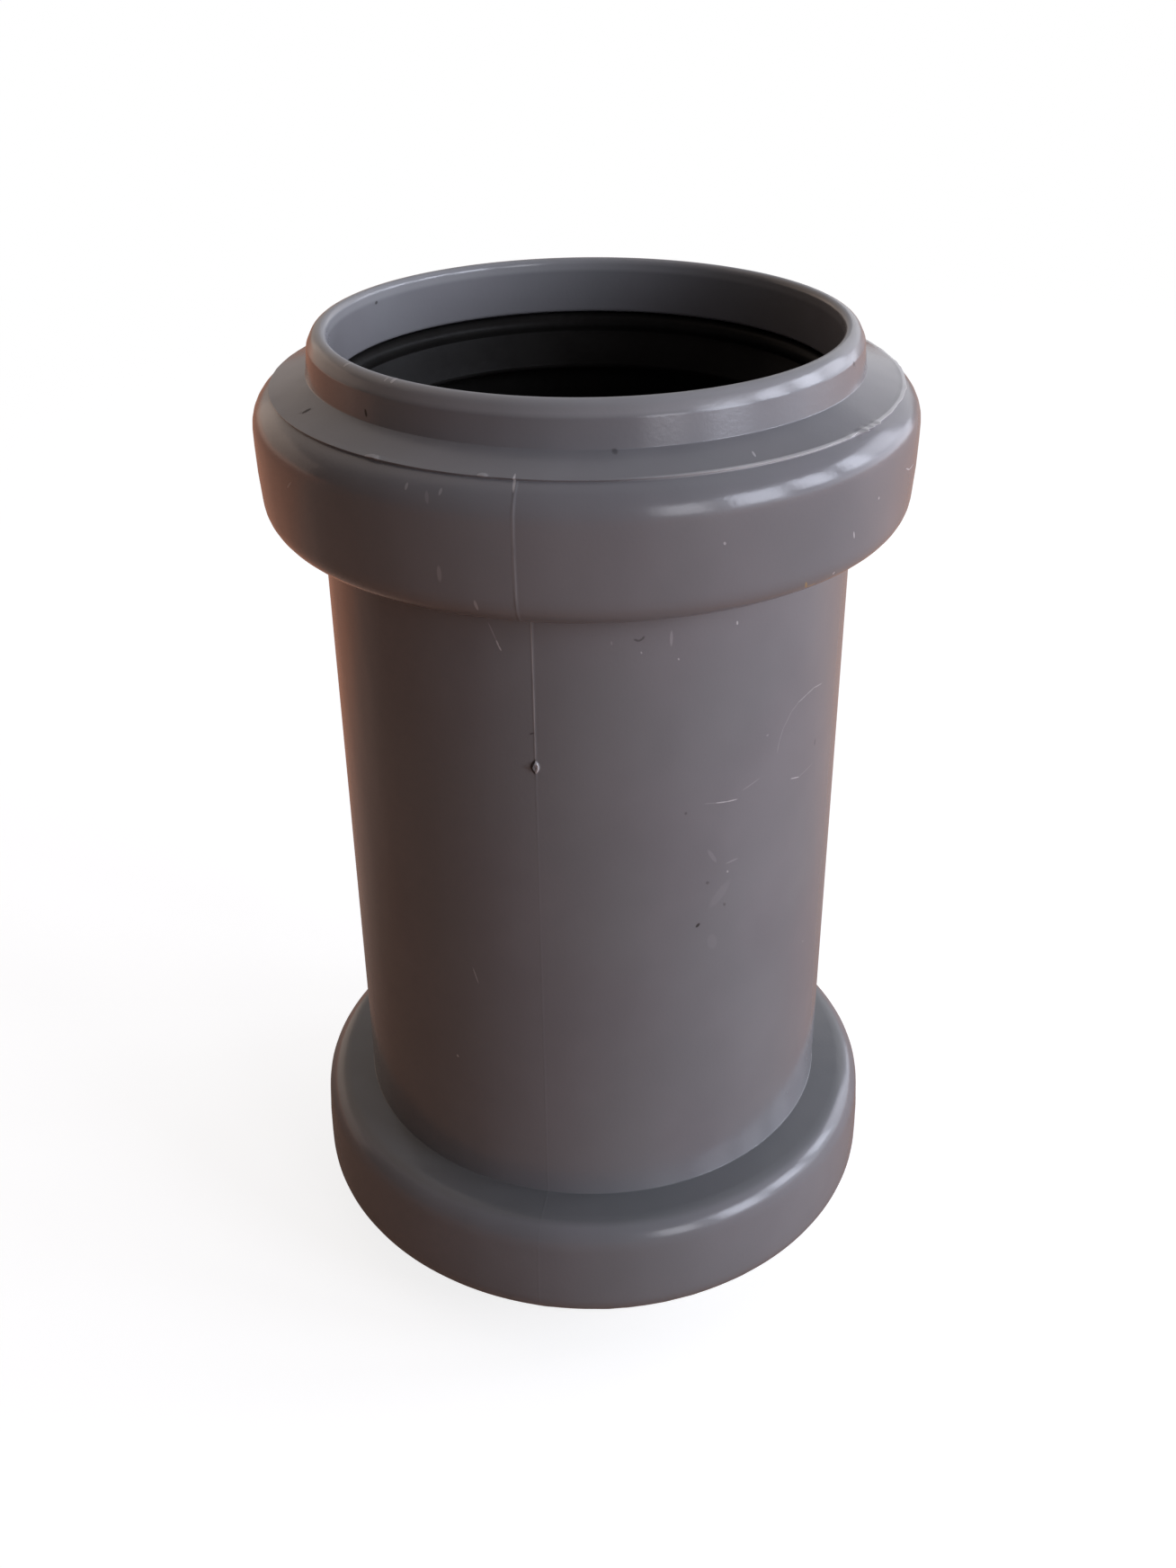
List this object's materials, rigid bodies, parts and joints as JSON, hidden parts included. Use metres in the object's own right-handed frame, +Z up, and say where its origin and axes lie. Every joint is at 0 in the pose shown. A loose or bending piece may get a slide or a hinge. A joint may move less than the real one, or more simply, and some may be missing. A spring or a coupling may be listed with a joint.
{
  "type": "pipe repair coupling",
  "caption": "Straight push-fit coupling for waste pipe: a plain barrel, a beaded socket with a rubber lip seal at each end, and a clear bore with no centre stop.",
  "frame": {"origin": "centre of the bottom end face, on the coupling's axis", "axes": "+Z up along the coupling's axis, from the bottom mouth to the top mouth; -Y towards the side that the picture shows"},
  "size_m": [0.066, 0.066, 0.1084],
  "materials": {
    "body": "satin moulded polypropylene, mid grey",
    "seal": "smooth black rubber"
  },
  "bodies": {
    "root": {"coupling_body": "body", "ring_seal_top": "seal", "ring_seal_bottom": "seal"}
  },
  "joints": []
}
